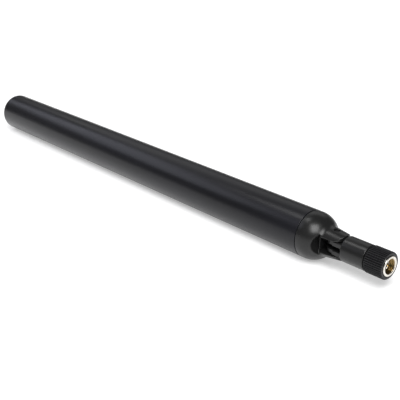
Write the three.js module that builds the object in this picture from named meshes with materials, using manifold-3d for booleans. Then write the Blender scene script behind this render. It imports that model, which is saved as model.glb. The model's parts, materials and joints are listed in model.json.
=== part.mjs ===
// Omnidirectional rod antenna with a tilting and swivelling screw connector, in millimetres.
// It lies on a surface: +X runs along the rod towards the connector, +Z is up, and the origin is on
// the surface below the middle of its length. The arm tilts about a vertical pin towards -Y.
import * as THREE from 'three';
import { mergeVertices } from 'three/addons/utils/BufferGeometryUtils.js';
import Module from 'manifold-3d';

const wasm = await Module();
wasm.setup();

// ---- driving dimensions ----

// radome: the long closed tube
const RADOME_DIAMETER = 20;
const RADOME_LENGTH = 235;
const RADOME_WALL = 1.5;
const RADOME_END_FILLET = 1.6;

// hinge base: spigot, dome and fork in one moulding
const SEAM_GAP = 0.3;
const SPIGOT_LENGTH = 9;
const SPIGOT_CHAMFER = 0.5;
const DOME_LIP = 1.5; // straight part before the dome starts to curve
const NECK_DIAMETER = 10.6; // at the ears' round ends
const NECK_DRAFT = 2.2; // how much thicker the neck is where it leaves the dome
const PIN_BEYOND_DOME = 3.5; // from where the dome meets the neck to the hinge pin's axis
const EAR_EDGE_SETBACK = 0.2; // the ears' round ends are this much inside the neck's radius
const SLOT_HEIGHT = 6.2;
const RIM_BEYOND_EAR = 1.3; // the round rim behind the slot, measured from the ears' end radius
const CABLE_BORE_CLEARANCE = 0.4; // round the cable, where it bends as the arm tilts

// hinge pins
const PIN_DIAMETER = 1.8;
const PIN_RECESS_CLEARANCE = 0.35; // round the pin's end
const PIN_RECESS_DEPTH = 0.7;
const PIN_CROWN = 0.35; // height of the pins' domed outer ends

// tilting arm: barrel and two-plate tongue in one moulding
const BARREL_DIAMETER = 10.6;
const BARREL_LENGTH = 10.4;
const BARREL_EDGE = 0.3;
const SHOULDER_BEYOND_EAR = 0.9; // from the ears' round end to the barrel's flat shoulder
const TONGUE_RADIUS = 3.5;
const OPEN_SIDE_OUTSET = 0.6; // beyond that radius, on the side that the arm tilts to
const STOP_SIDE_INSET = 0.1; // within that radius, on the side with the stop wall
const TONGUE_STEP = 1.3; // the wider side starts this far from the pin's axis
const SCOOP_CLEARANCE = 0.6; // round the tilted barrel, where it lies in the dome

// connector body, insulator and contact; the mating plane is the outer contact's front face
const MATING_PLANE_DEPTH = 3.0; // behind the nut's front face
const CONTACT_SLEEVE_DIAMETER = 4.6;
const CONTACT_SLEEVE_WALL = 0.3;
const CONTACT_SLEEVE_LENGTH = 1.0;
const INSULATOR_LENGTH = 5;
const CENTRE_PIN_DIAMETER = 0.9;
const CENTRE_PIN_PROUD = 2.1; // beyond the mating plane
const CENTRE_PIN_TAPER = 0.5;
const FLANGE_STEP = 0.45; // how far each step stands out from the sleeve or from the neck
const NECK_STEP = 0.3;
const THRUST_COLLAR_STEP = 0.8;
const BARB_STEP = 0.5;
const FLANGE_LENGTH = 1.5;
const GROOVE_DEPTH = 0.25;
const GROOVE_TO_FLANGE = 0.3;
const SNAP_RING_THICKNESS = 0.5;
const SNAP_RING_OPENING_DEG = 40;
const THRUST_COLLAR_LENGTH = 0.5;
const BARB_LENGTH = 1.5;
const BARREL_LIP_LENGTH = 1.5;
const CRIMP_SPIGOT_DIAMETER = 3.0;
const CRIMP_SPIGOT_LENGTH = 4.4;
const FERRULE_WALL = 0.45;
const GASKET_THICKNESS = 0.5;

// coupling nut: metal insert and knurled cover
const COVER_WALL = 0.49; // outside the hexagon's corners and under the knurl
const COVER_FRONT_CHAMFER = 0.35;
const COVER_REAR_CHAMFER = 0.25;
const KNURL_COUNT = 40;
const KNURL_DEPTH = 0.28;
const NUT_BEHIND_BARREL_GAP = 0.3;
const INSERT_PROUD = 0.35; // the insert's front ring stands out of the cover
const HEX_ACROSS_FLATS = 8.0;
const INSERT_RING_LENGTH = 0.9;
const THREAD_MAJOR_DIAMETER = 6.35;
const THREAD_DEPTH = 0.325;
const INSERT_REAR_WALL = 1.3;

// coaxial cable
const CABLE_DIAMETER = 1.8;
const JACKET_THICKNESS = 0.2;
const BRAID_THICKNESS = 0.25;
const BRAID_TAIL_LENGTH = 3;
const CORE_TAIL_LENGTH = 3;
const CABLE_IN_POCKET = 0.4; // how far the base's and the arm's stretches reach into the free hinge space

// antenna board with its two printed dipole arms
const BOARD_WIDTH = 12;
const BOARD_THICKNESS = 0.8;
const BOARD_TIP_CLEARANCE = 8; // from the radome's closed end
const BOARD_SLOT_DEPTH = 5; // how far the board plugs into the spigot
const COPPER_THICKNESS = 0.1;
const COPPER_MARGIN = 0.6;
const FEED_GAP = 2;
const FEED_SHARE = 0.5; // where the feed gap is along the board
const SOLDER_WIDTH = 2.6;
const SOLDER_LENGTH = 1.8;

// foam pads that centre the board
const PAD_THICKNESS = 8;
const PAD_FROM_END = 14;

// clearances
const FIT = 0.1; // glued and pressed fits, per side
const RUNNING = 0.15; // turning fits, per side
const TONGUE_CLEARANCE = 0.35; // between the tongue and the slot, above and below
const SWEEP_CLEARANCE = 0.3; // round the tongue as it turns in plan
const TOUCH = 0.3; // between end faces that would touch

// facets round a circle
const ROUND = 36;
const SMALL_ROUND = 24;
const DOME_STEPS = 10;
const FILLET_STEPS = 4;

// ---- sizes and places worked out from them, measured along +X from the seam ----

const radomeRadius = RADOME_DIAMETER / 2;
const neckRadius = NECK_DIAMETER / 2;
const boreRadius = radomeRadius - RADOME_WALL;
const neckRearRadius = neckRadius + NECK_DRAFT / 2;
const domeEnd = DOME_LIP + Math.sqrt(radomeRadius ** 2 - neckRearRadius ** 2);
const pinX = domeEnd + PIN_BEYOND_DOME;
const neckAtPin = neckRadius + (NECK_DRAFT / 2) * (neckRadius / (neckRadius + PIN_BEYOND_DOME));
const pinEnd = neckAtPin - PIN_RECESS_DEPTH; // the recess's floor, from the rod's axis
const earRadius = neckRadius - EAR_EDGE_SETBACK;
const rimRadius = earRadius + RIM_BEYOND_EAR;
const shoulder = earRadius + SHOULDER_BEYOND_EAR; // from the pin's axis
const slotHalf = SLOT_HEIGHT / 2;
const tongueHalf = slotHalf - TONGUE_CLEARANCE;
const openSide = TONGUE_RADIUS + OPEN_SIDE_OUTSET;
const closedSide = TONGUE_RADIUS - STOP_SIDE_INSET;
const pocketRear = -(openSide + SWEEP_CLEARANCE); // the slot's back edge, from the pin's axis
const cableGap = CABLE_DIAMETER + 2 * FIT; // between the tongue's two plates
const braidDiameter = CABLE_DIAMETER - 2 * JACKET_THICKNESS;
const coreDiameter = braidDiameter - 2 * BRAID_THICKNESS;
const barrelRadius = BARREL_DIAMETER / 2;
const barrelFront = shoulder + BARREL_LENGTH; // from the pin's axis
const nutRear = barrelFront + NUT_BEHIND_BARREL_GAP;
const grooveLength = SNAP_RING_THICKNESS + 2 * FIT;
const rearOfMatingPlane = THRUST_COLLAR_LENGTH + TOUCH + INSERT_REAR_WALL + grooveLength
  + GROOVE_TO_FLANGE + FLANGE_LENGTH + CONTACT_SLEEVE_LENGTH; // inside the nut
const matingPlane = nutRear + rearOfMatingPlane;
const nutFront = matingPlane + MATING_PLANE_DEPTH;
const axisHeight = radomeRadius * Math.cos(Math.PI / ROUND); // a flat facet rests on the surface
const overallLength = RADOME_LENGTH + pinX + nutFront;

// ---- shape helpers ----

const radians = (degrees) => (degrees * Math.PI) / 180;

// A round solid about X from a profile of [x, radius] points that runs up its outside.
function turned(profile, facets = ROUND) {
  const points = profile.map(([x, radius]) => new THREE.Vector2(radius, x));
  return new THREE.LatheGeometry(points, facets, Math.PI / facets).rotateZ(-Math.PI / 2);
}

function rod(x0, x1, diameter, facets = ROUND) {
  const radius = diameter / 2;
  return turned([[x0, 0], [x0, radius], [x1, radius], [x1, 0]], facets);
}

function tube(x0, x1, outer, inner, facets = ROUND) {
  const [a, b] = [outer / 2, inner / 2];
  return turned([[x0, b], [x0, a], [x1, a], [x1, b], [x0, b]], facets);
}

function block(x0, x1, y0, y1, z0, z1) {
  const box = new THREE.BoxGeometry(x1 - x0, y1 - y0, z1 - z0);
  return box.translate((x0 + x1) / 2, (y0 + y1) / 2, (z0 + z1) / 2);
}

// A cylinder about an axis parallel to Z or to Y.
function upright(x, radius, z0, z1, facets = ROUND) {
  const cylinder = new THREE.CylinderGeometry(radius, radius, z1 - z0, facets);
  return cylinder.rotateX(Math.PI / 2).translate(x, 0, (z0 + z1) / 2);
}

function crosswise(x, radius, y0, y1, facets = ROUND) {
  const cylinder = new THREE.CylinderGeometry(radius, radius, y1 - y0, facets);
  return cylinder.translate(x, (y0 + y1) / 2, 0);
}

// A hexagonal bar about X.
function hexBar(x0, x1, acrossFlats) {
  const corner = acrossFlats / 2 / Math.cos(Math.PI / 6);
  return turned([[x0, 0], [x0, corner], [x1, corner], [x1, 0]], 6);
}

// ---- booleans ----

function solid(geometry) {
  const plain = geometry.clone();
  plain.deleteAttribute('normal');
  plain.deleteAttribute('uv');
  const merged = mergeVertices(plain, 1e-4);
  return new wasm.Manifold(new wasm.Mesh({
    numProp: 3,
    vertProperties: merged.attributes.position.array,
    triVerts: new Uint32Array(merged.index.array),
  }));
}

function geometryOf(manifold) {
  const mesh = manifold.getMesh();
  const geometry = new THREE.BufferGeometry();
  geometry.setAttribute('position', new THREE.BufferAttribute(mesh.vertProperties, 3));
  geometry.setIndex(new THREE.BufferAttribute(mesh.triVerts, 1));
  geometry.computeVertexNormals();
  return geometry;
}

const joined = (...geometries) => geometryOf(geometries.map(solid).reduce((a, b) => a.add(b)));

function cut(geometry, ...tools) {
  return geometryOf(tools.map(solid).reduce((a, b) => a.subtract(b), solid(geometry)));
}

const common = (a, b) => geometryOf(solid(a).intersect(solid(b)));

// ---- materials ----

function material(color, roughness, metalness = 0) {
  return new THREE.MeshStandardMaterial({ color, roughness, metalness });
}

const blackRadome = material(0x26262b, 0.5);
const blackHinge = material(0x2a2a2a, 0.42);
const blackCover = material(0x232428, 0.5);
const darkSteel = material(0x3c3c3e, 0.35, 1);
const nickel = material(0xd9d6cc, 0.25, 1);
const gold = material(0xc9a24a, 0.25, 1);
const ptfe = material(0xf0efe8, 0.6);
const copper = material(0xb87348, 0.35, 1);
const solder = material(0xb6b8ba, 0.4, 1);
const tinnedBraid = material(0x9d9a93, 0.5, 1);
const boardGreen = material(0x1e5a38, 0.5);
const cableJacket = material(0x161617, 0.35);
const foam = material(0x4a4b4e, 0.95);
const silicone = material(0xb03a2c, 0.6);

function part(name, geometry, finish) {
  const mesh = new THREE.Mesh(geometry, finish);
  mesh.name = name;
  return mesh;
}

// ---- radome and what is inside it ----

function radomeTube() {
  const fillet = Array.from({ length: FILLET_STEPS + 1 }, (_, i) => {
    const angle = (i / FILLET_STEPS) * (Math.PI / 2);
    return [
      -RADOME_LENGTH + RADOME_END_FILLET * (1 - Math.sin(angle)),
      radomeRadius - RADOME_END_FILLET * (1 - Math.cos(angle)),
    ];
  }).reverse();
  const closedEnd = -RADOME_LENGTH + RADOME_WALL;
  return turned([
    [-RADOME_LENGTH, 0], ...fillet,
    [-SEAM_GAP / 2, radomeRadius], [-SEAM_GAP / 2, boreRadius],
    [closedEnd, boreRadius], [closedEnd, 0],
  ]);
}

const boardTop = -(CABLE_DIAMETER / 2 + FIT);
const boardStart = -RADOME_LENGTH + RADOME_WALL + BOARD_TIP_CLEARANCE;
const boardEnd = -SPIGOT_LENGTH + BOARD_SLOT_DEPTH;
const feedX = boardStart + (boardEnd - boardStart) * FEED_SHARE;
const spigotRear = -SPIGOT_LENGTH;

function antennaBoard() {
  const half = BOARD_WIDTH / 2;
  const recess = boardTop - COPPER_THICKNESS;
  return block(boardStart, boardEnd, -half, half, recess - BOARD_THICKNESS, recess);
}

function copperArm(x0, x1) {
  const half = BOARD_WIDTH / 2 - COPPER_MARGIN;
  return block(x0, x1, -half, half, boardTop - COPPER_THICKNESS, boardTop);
}

// A solder joint stands on the copper and holds a round conductor that lies on the axis.
function solderJoint(x, conductorDiameter) {
  const lump = block(
    x - SOLDER_LENGTH / 2, x + SOLDER_LENGTH / 2,
    -SOLDER_WIDTH / 2, SOLDER_WIDTH / 2, boardTop, conductorDiameter / 4,
  );
  return cut(lump, rod(x - SOLDER_LENGTH, x + SOLDER_LENGTH, conductorDiameter + FIT, SMALL_ROUND));
}

function foamPad(x) {
  const pad = rod(x, x + PAD_THICKNESS, 2 * (boreRadius - FIT));
  const half = BOARD_WIDTH / 2 + FIT;
  const past = PAD_THICKNESS;
  const underBoard = boardTop - COPPER_THICKNESS - BOARD_THICKNESS - FIT;
  const cableRoom = CABLE_DIAMETER / 2 + FIT;
  return cut(
    pad,
    block(x - past, x + 2 * past, -half, half, underBoard, boardTop + FIT),
    block(x - past, x + 2 * past, -cableRoom, cableRoom, boardTop, cableRoom),
  );
}

// ---- hinge base: spigot, dome and fork ----

function hingeBase() {
  const spigotRadius = boreRadius - FIT;
  const domeAngle = Math.acos(neckRearRadius / radomeRadius);
  const dome = Array.from({ length: DOME_STEPS + 1 }, (_, i) => {
    const angle = (i / DOME_STEPS) * domeAngle;
    return [DOME_LIP + radomeRadius * Math.sin(angle), radomeRadius * Math.cos(angle)];
  });
  const outside = turned([
    [spigotRear, 0], [spigotRear, spigotRadius - SPIGOT_CHAMFER],
    [spigotRear + SPIGOT_CHAMFER, spigotRadius],
    [SEAM_GAP / 2, spigotRadius], [SEAM_GAP / 2, radomeRadius],
    ...dome, [pinX + neckRadius, neckRadius], [pinX + neckRadius, 0],
  ]);
  const past = radomeRadius;

  // the ears end in a round about the pin
  const squareEnd = block(pinX, pinX + past, -past, past, -past, past);
  const roundEnd = upright(pinX, earRadius, -2 * past, 2 * past);

  // room for the tilted barrel beside the round rim behind the slot
  const scoop = cut(
    crosswise(pinX, barrelRadius + SCOOP_CLEARANCE, -2 * past, 0),
    upright(pinX, rimRadius, -past, past),
  );

  // the slot that the tongue turns in: open at the front and on the side that the arm tilts to
  const stopWall = closedSide + SWEEP_CLEARANCE;
  const slot = joined(
    upright(pinX, TONGUE_RADIUS + SWEEP_CLEARANCE, -slotHalf, slotHalf),
    block(pinX, pinX + past, -past, stopWall, -slotHalf, slotHalf),
    block(pinX + pocketRear, pinX + past, -past, 0, -slotHalf, slotHalf),
  );

  const boreDiameter = CABLE_DIAMETER + 2 * CABLE_BORE_CLEARANCE;
  const cableBore = rod(spigotRear - past, pinX, boreDiameter, SMALL_ROUND);
  const pinHole = upright(pinX, PIN_DIAMETER / 2 + FIT / 2, -2 * past, 2 * past, SMALL_ROUND);
  const recessRadius = PIN_DIAMETER / 2 + PIN_RECESS_CLEARANCE;
  const recess = (z0, z1) => upright(pinX, recessRadius, z0, z1, SMALL_ROUND);

  // the board plugs into the spigot, and the cable lies on it
  const half = BOARD_WIDTH / 2 + FIT;
  const cableRoom = CABLE_DIAMETER / 2 + FIT;
  const underBoard = boardTop - COPPER_THICKNESS - BOARD_THICKNESS - FIT;
  const boardSlot = block(spigotRear - 1, boardEnd + TOUCH, -half, half, underBoard, cableRoom);

  return cut(
    outside, cut(squareEnd, roundEnd), scoop, slot, cableBore, pinHole,
    recess(pinEnd, past), recess(-past, -pinEnd), boardSlot,
  );
}

// A hinge pin goes through one ear and one plate of the tongue, and its outer end is domed.
function hingePin() {
  const radius = PIN_DIAMETER / 2;
  const inner = cableGap / 2 + FIT;
  const crownSteps = 3;
  const crown = Array.from({ length: crownSteps + 1 }, (_, i) => {
    const angle = (i / crownSteps) * (Math.PI / 2);
    return [pinEnd + PIN_CROWN * Math.sin(angle), radius * Math.cos(angle)];
  });
  return turned([[inner, 0], [inner, radius], ...crown], SMALL_ROUND);
}

// ---- tilting arm, measured from the pin's axis ----

const bodyNeckDiameter = CONTACT_SLEEVE_DIAMETER + 2 * NECK_STEP;
const barbDiameter = bodyNeckDiameter + 2 * BARB_STEP;
const lipRear = barrelFront - BARREL_LIP_LENGTH;
const barbFront = lipRear - RUNNING;
const barbRear = barbFront - BARB_LENGTH;
const crimpRear = barbRear - CRIMP_SPIGOT_LENGTH;
const chamberRear = crimpRear - TOUCH;

function swivelBarrel() {
  const outside = turned([
    [shoulder, 0], [shoulder, barrelRadius - BARREL_EDGE],
    [shoulder + BARREL_EDGE, barrelRadius],
    [barrelFront - BARREL_EDGE, barrelRadius],
    [barrelFront, barrelRadius - BARREL_EDGE], [barrelFront, 0],
  ]);
  const root = shoulder + BARREL_EDGE + TOUCH;
  const tongue = joined(
    upright(0, TONGUE_RADIUS, -tongueHalf, tongueHalf),
    block(0, root, -TONGUE_RADIUS, closedSide, -tongueHalf, tongueHalf),
    block(TONGUE_STEP, root, -openSide, 0, -tongueHalf, tongueHalf),
  );
  const past = 2 * TONGUE_RADIUS;
  const gapFrontWall = shoulder + TOUCH;
  const half = cableGap / 2;
  return cut(
    joined(outside, tongue),
    block(-past, gapFrontWall, -past, past, -half, half),
    upright(0, PIN_DIAMETER / 2 + RUNNING, -past, past, SMALL_ROUND),
    rod(0, chamberRear + 1, cableGap, SMALL_ROUND),
    rod(chamberRear, lipRear, barbDiameter + 2 * RUNNING),
    rod(lipRear - 1, barrelFront + 1, bodyNeckDiameter + 2 * RUNNING),
  );
}

// ---- connector, measured from its mating plane ----

const insulatorDiameter = CONTACT_SLEEVE_DIAMETER - 2 * CONTACT_SLEEVE_WALL - 2 * FIT;
const flangeDiameter = CONTACT_SLEEVE_DIAMETER + 2 * FLANGE_STEP;
const collarDiameter = bodyNeckDiameter + 2 * THRUST_COLLAR_STEP;
const grooveDiameter = bodyNeckDiameter - 2 * GROOVE_DEPTH;
const flangeFront = -CONTACT_SLEEVE_LENGTH;
const flangeRear = flangeFront - FLANGE_LENGTH;
const grooveFront = flangeRear - GROOVE_TO_FLANGE;
const grooveRear = grooveFront - grooveLength;
const insertRearFace = grooveRear - INSERT_REAR_WALL;
const collarRear = barrelFront - matingPlane + RUNNING;
const collarFront = collarRear + THRUST_COLLAR_LENGTH;
const barb = [barbRear - matingPlane, barbFront - matingPlane];
const crimpEnd = crimpRear - matingPlane;
const insulatorRear = -INSULATOR_LENGTH;

function connectorBody() {
  const sleeve = CONTACT_SLEEVE_DIAMETER / 2;
  const neck = bodyNeckDiameter / 2;
  const outside = turned([
    [crimpEnd, 0], [crimpEnd, CRIMP_SPIGOT_DIAMETER / 2],
    [barb[0], CRIMP_SPIGOT_DIAMETER / 2], [barb[0], neck],
    [barb[1] - BARB_LENGTH / 3, barbDiameter / 2], [barb[1], barbDiameter / 2],
    [barb[1], neck], [collarRear, neck], [collarRear, collarDiameter / 2],
    [collarFront, collarDiameter / 2], [collarFront, neck],
    [grooveRear, neck], [grooveRear, grooveDiameter / 2],
    [grooveFront, grooveDiameter / 2], [grooveFront, neck],
    [flangeRear, neck], [flangeRear, flangeDiameter / 2],
    [flangeFront, flangeDiameter / 2], [flangeFront, sleeve],
    [0, sleeve], [0, 0],
  ]);
  return cut(
    outside,
    rod(insulatorRear - FIT, 1, insulatorDiameter + 2 * FIT),
    rod(crimpEnd - 1, insulatorRear, coreDiameter + 2 * FIT, SMALL_ROUND),
  );
}

function insulator() {
  return tube(insulatorRear, -FIT, insulatorDiameter, CENTRE_PIN_DIAMETER + 2 * FIT, SMALL_ROUND);
}

function centrePin() {
  const radius = CENTRE_PIN_DIAMETER / 2;
  const tip = CENTRE_PIN_PROUD;
  return turned([
    [insulatorRear + TOUCH, 0], [insulatorRear + TOUCH, radius],
    [tip - CENTRE_PIN_TAPER, radius], [tip - CENTRE_PIN_TAPER / 3, radius * 0.65],
    [tip, radius * 0.3], [tip, 0],
  ], SMALL_ROUND);
}

function snapRing() {
  const x0 = grooveRear + FIT;
  const ring = tube(
    x0, x0 + SNAP_RING_THICKNESS, snapRingDiameter, grooveDiameter + 2 * FIT, ROUND,
  );
  const width = snapRingDiameter * Math.sin(radians(SNAP_RING_OPENING_DEG / 2));
  return cut(ring, block(x0 - 1, x0 + 2, -width / 2, width / 2, 0, snapRingDiameter));
}

function crimpFerrule() {
  const inner = CRIMP_SPIGOT_DIAMETER + 2 * FIT;
  return tube(crimpEnd + TOUCH, barb[0] - TOUCH, inner + 2 * FERRULE_WALL, inner);
}

function gasket() {
  return tube(
    flangeFront + FIT, flangeFront + FIT + GASKET_THICKNESS,
    flangeDiameter, CONTACT_SLEEVE_DIAMETER + 2 * FIT,
  );
}

// ---- coupling nut, measured from the connector's mating plane ----

const insertFront = MATING_PLANE_DEPTH;
const coverFront = insertFront - INSERT_PROUD;
const coverRear = nutRear - matingPlane;
const hexPocket = HEX_ACROSS_FLATS + 2 * FIT;
const coverRadius = hexPocket / 2 / Math.cos(Math.PI / 6) + COVER_WALL + KNURL_DEPTH;
const minorDiameter = THREAD_MAJOR_DIAMETER - 2 * THREAD_DEPTH;
const chamberDiameter = Math.max(THREAD_MAJOR_DIAMETER + 2 * FIT, flangeDiameter + 2 * RUNNING);
const snapRingDiameter = chamberDiameter - 2 * RUNNING;
const insertRingRear = coverFront - INSERT_RING_LENGTH;

function nutInsert() {
  const ring = HEX_ACROSS_FLATS / 2;
  const collar = turned([
    [insertRingRear, 0], [insertRingRear, ring], [insertFront - 0.2, ring],
    [insertFront, ring - 0.2], [insertFront, 0],
  ]);
  const countersink = turned([
    [insertFront - THREAD_DEPTH, 0], [insertFront - THREAD_DEPTH, minorDiameter / 2],
    [insertFront, THREAD_MAJOR_DIAMETER / 2], [insertFront + 1, THREAD_MAJOR_DIAMETER / 2],
    [insertFront + 1, 0],
  ]);
  return cut(
    joined(hexBar(insertRearFace, insertRingRear + 0.1, HEX_ACROSS_FLATS), collar),
    countersink,
    rod(insertRearFace - 1, insertFront, bodyNeckDiameter + 2 * RUNNING),
    rod(grooveRear, flangeFront + GASKET_THICKNESS + TOUCH, chamberDiameter),
    rod(flangeFront, insertFront + 1, minorDiameter),
  );
}

function knurlOutline(radius) {
  const shape = new THREE.Shape();
  const point = (turn, r) => [r * Math.cos(turn * 2 * Math.PI), r * Math.sin(turn * 2 * Math.PI)];
  const stages = [[0, 0], [0.45, 0], [0.6, 1], [0.85, 1]]; // [place in the pitch, share of the depth]
  for (let i = 0; i < KNURL_COUNT; i++) {
    for (const [place, depth] of stages) {
      const [a, b] = point((i + place) / KNURL_COUNT, radius - depth * KNURL_DEPTH);
      if (i === 0 && place === 0) shape.moveTo(a, b);
      else shape.lineTo(a, b);
    }
  }
  shape.closePath();
  return shape;
}

function knurledCover() {
  const length = coverFront - coverRear;
  const knurl = new THREE.ExtrudeGeometry(knurlOutline(coverRadius), { depth: length, bevelEnabled: false });
  knurl.rotateY(Math.PI / 2).translate(coverRear, 0, 0);
  const envelope = turned([
    [coverRear, 0], [coverRear, coverRadius - KNURL_DEPTH - COVER_REAR_CHAMFER],
    [coverRear + KNURL_DEPTH + COVER_REAR_CHAMFER, coverRadius + FIT],
    [coverFront - COVER_FRONT_CHAMFER, coverRadius + FIT],
    [coverFront, coverRadius - COVER_FRONT_CHAMFER], [coverFront, 0],
  ]);
  const inside = joined(
    hexBar(insertRearFace - 2 * FIT, insertRingRear + FIT, hexPocket),
    rod(coverRear - 1, insertFront + 1, hexPocket),
  );
  return cut(common(knurl, envelope), inside);
}

// ---- assembly ----

const antenna = new THREE.Group();
antenna.position.set(RADOME_LENGTH - overallLength / 2, 0, axisHeight);

const hingeSpaceRear = pinX + pocketRear + CABLE_IN_POCKET;
const hingeSpaceFront = pinX + shoulder + TOUCH - CABLE_IN_POCKET;
const feedEdge = feedX + FEED_GAP / 2;
const jacketEnd = feedEdge + BRAID_TAIL_LENGTH;
const coreTip = feedEdge - CORE_TAIL_LENGTH;

antenna.add(
  part('radome_tube', radomeTube(), blackRadome),
  part('hinge_base', hingeBase(), blackHinge),
  part('antenna_board', antennaBoard(), boardGreen),
  part('copper_upper_arm', copperArm(boardStart + COPPER_MARGIN, feedX - FEED_GAP / 2), copper),
  part('copper_lower_arm', copperArm(feedEdge, spigotRear - TOUCH), copper),
  part('foam_pad_tip', foamPad(-RADOME_LENGTH + PAD_FROM_END), foam),
  part('foam_pad_base', foamPad(spigotRear - PAD_FROM_END - PAD_THICKNESS), foam),
  part('coax_cable', rod(jacketEnd, hingeSpaceRear, CABLE_DIAMETER, SMALL_ROUND), cableJacket),
  part('coax_braid_tail', rod(feedEdge, jacketEnd - FIT, braidDiameter, SMALL_ROUND), tinnedBraid),
  part('coax_core_tail', rod(coreTip, feedEdge - FIT, coreDiameter, SMALL_ROUND), ptfe),
  part('braid_solder_joint', solderJoint(feedEdge + BRAID_TAIL_LENGTH / 2, braidDiameter), solder),
  part('core_solder_joint', solderJoint(coreTip + SOLDER_LENGTH / 2, coreDiameter), solder),
  part('coax_hinge_section',
    rod(hingeSpaceRear + TOUCH, hingeSpaceFront - TOUCH, CABLE_DIAMETER, SMALL_ROUND), cableJacket),
);

const pinTop = part('hinge_pin_top', hingePin(), darkSteel);
pinTop.position.x = pinX;
pinTop.rotation.y = -Math.PI / 2;
const pinBottom = part('hinge_pin_bottom', hingePin(), darkSteel);
pinBottom.position.x = pinX;
pinBottom.rotation.y = Math.PI / 2;
antenna.add(pinTop, pinBottom);

const arm = new THREE.Group();
arm.position.x = pinX;
const cableRest = hingeSpaceFront - pinX;
arm.add(
  part('swivel_barrel', swivelBarrel(), blackHinge),
  part('coax_arm_section', rod(cableRest, crimpRear - TOUCH, CABLE_DIAMETER, SMALL_ROUND), cableJacket),
);
antenna.add(arm);

const connector = new THREE.Group();
connector.position.x = matingPlane;
connector.add(
  part('connector_body', connectorBody(), gold),
  part('insulator', insulator(), ptfe),
  part('centre_pin', centrePin(), gold),
  part('nut_snap_ring', snapRing(), nickel),
  part('crimp_ferrule', crimpFerrule(), nickel),
  part('gasket', gasket(), silicone),
  part('coax_core_plug_end', rod(crimpEnd, insulatorRear - FIT, coreDiameter, SMALL_ROUND), ptfe),
);
arm.add(connector);

const nut = new THREE.Group();
nut.add(
  part('nut_insert', nutInsert(), nickel),
  part('knurled_cover', knurledCover(), blackCover),
);
connector.add(nut);

export default antenna;
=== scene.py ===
"""Looks of a rod antenna whose screw connector tilts and swivels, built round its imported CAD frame.

Places and lengths are millimetres in the frame's own axes: X along the rod towards the connector,
Z up from the surface that it lies on. They become metres only when a mesh is made.
"""

import json
import math

import bpy
import numpy as np
from mathutils import Matrix, Vector


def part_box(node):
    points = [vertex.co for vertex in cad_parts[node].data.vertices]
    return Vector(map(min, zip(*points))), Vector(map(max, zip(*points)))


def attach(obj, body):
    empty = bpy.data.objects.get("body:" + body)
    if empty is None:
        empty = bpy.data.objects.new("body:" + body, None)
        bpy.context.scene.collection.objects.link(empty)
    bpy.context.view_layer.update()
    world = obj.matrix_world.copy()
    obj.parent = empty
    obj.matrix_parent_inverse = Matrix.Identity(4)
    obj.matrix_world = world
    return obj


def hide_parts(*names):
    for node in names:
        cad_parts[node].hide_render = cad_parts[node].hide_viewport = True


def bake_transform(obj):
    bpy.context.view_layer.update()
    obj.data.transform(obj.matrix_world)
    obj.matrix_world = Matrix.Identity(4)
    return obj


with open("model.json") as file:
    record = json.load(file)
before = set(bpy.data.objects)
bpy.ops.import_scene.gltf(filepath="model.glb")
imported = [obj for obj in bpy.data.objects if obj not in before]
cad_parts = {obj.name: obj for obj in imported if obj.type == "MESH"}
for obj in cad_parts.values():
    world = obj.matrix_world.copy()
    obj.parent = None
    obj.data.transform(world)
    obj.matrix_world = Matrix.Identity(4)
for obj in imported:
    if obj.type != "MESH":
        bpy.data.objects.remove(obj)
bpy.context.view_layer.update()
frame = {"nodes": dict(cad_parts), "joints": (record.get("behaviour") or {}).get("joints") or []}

MM = 0.001
JOINTS = {joint["name"]: joint for joint in frame["joints"]}
PIN_X, _, AXIS_Z = (value / MM for value in JOINTS["arm_tilt"]["pos_m"])


def span(node):
    """A CAD node's first and last X, and half its width."""
    low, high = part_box(node)
    return low.x / MM, high.x / MM, (high.y - low.y) / 2 / MM


# ---- sizes that a node's box doesn't give ----

RADOME_WALL = 1.5
RADOME_END_FILLET = 1.5
SEAM_EDGE = 0.22  # the softened edges either side of the seam
DOME_LIP = 1.5
EAR_EDGE_SETBACK = 0.2
NECK_DRAFT = 1.1  # how much the neck's radius grows from the ears' ends back to the dome
SLOT_HALF = 3.1
TONGUE_RADIUS = 3.5
TONGUE_HALF = 2.75
TONGUE_STEP = 1.3  # the wider side starts this far from the pins
OPEN_SIDE_OUTSET = 0.6
STOP_SIDE_INSET = 0.1
SWEEP_CLEARANCE = 0.3
SCOOP_CLEARANCE = 0.6
RIM_BEYOND_EAR = 1.3
SHOULDER_GAP = 0.55  # from the ears' ends to the barrel's shoulder
BARREL_LIP = 1.5
PIN_RADIUS = 0.9
PIN_RECESS = (1.25, 0.7)  # radius and depth
CABLE_BORE_RADIUS = 1.3
BOARD_CLEARANCE = 0.1
FIT = 0.1
RUNNING = 0.15

SLEEVE_RADIUS = 2.3  # the plug body's radii, from its mating end back
FLANGE_RADIUS = 2.75
NECK_RADIUS = 2.6
COLLAR_RADIUS = 3.4
BARB_RADIUS = 3.1
TAIL_RADIUS = 1.5
COLLAR_LENGTH = 0.5
BARB_LENGTH = 1.5
BARB_LAND = 0.5
FLANGE_SETBACK = 0.3
SNAP_GROOVE_DEPTH = 0.25
SNAP_OPENING = 40  # degrees
FERRULE_WALL = 0.45
FERRULE_ROUND_END = 0.8  # left round each side of the squeezed hexagon
SQUEEZE_RUNOUT = 0.2

NUT_RING_RADIUS = 4.0  # the bright ring at the nut's front
NUT_RING_LENGTH = 0.9
THREAD_MAJOR_RADIUS = 6.35 / 2
THREAD_PITCH = 25.4 / 36
THREAD_DEPTH = 0.325
KNURL_RIDGES = 40
KNURL_DEPTH = 0.5
KNURL_POINTS = 12  # round each ridge
COVER_FRONT_CHAMFER = 0.35

STRANDS = 8  # in each direction of the braid
WIRE_RADIUS = 0.07
SOLDER_RIM = 0.94  # the mound stops at this share of its reach, where it is still thick

HINGE_CELL = 0.17
BARREL_CELL = 0.13
SNAP_RING_CELL = 0.07
SOLDER_CELL = 0.06

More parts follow.
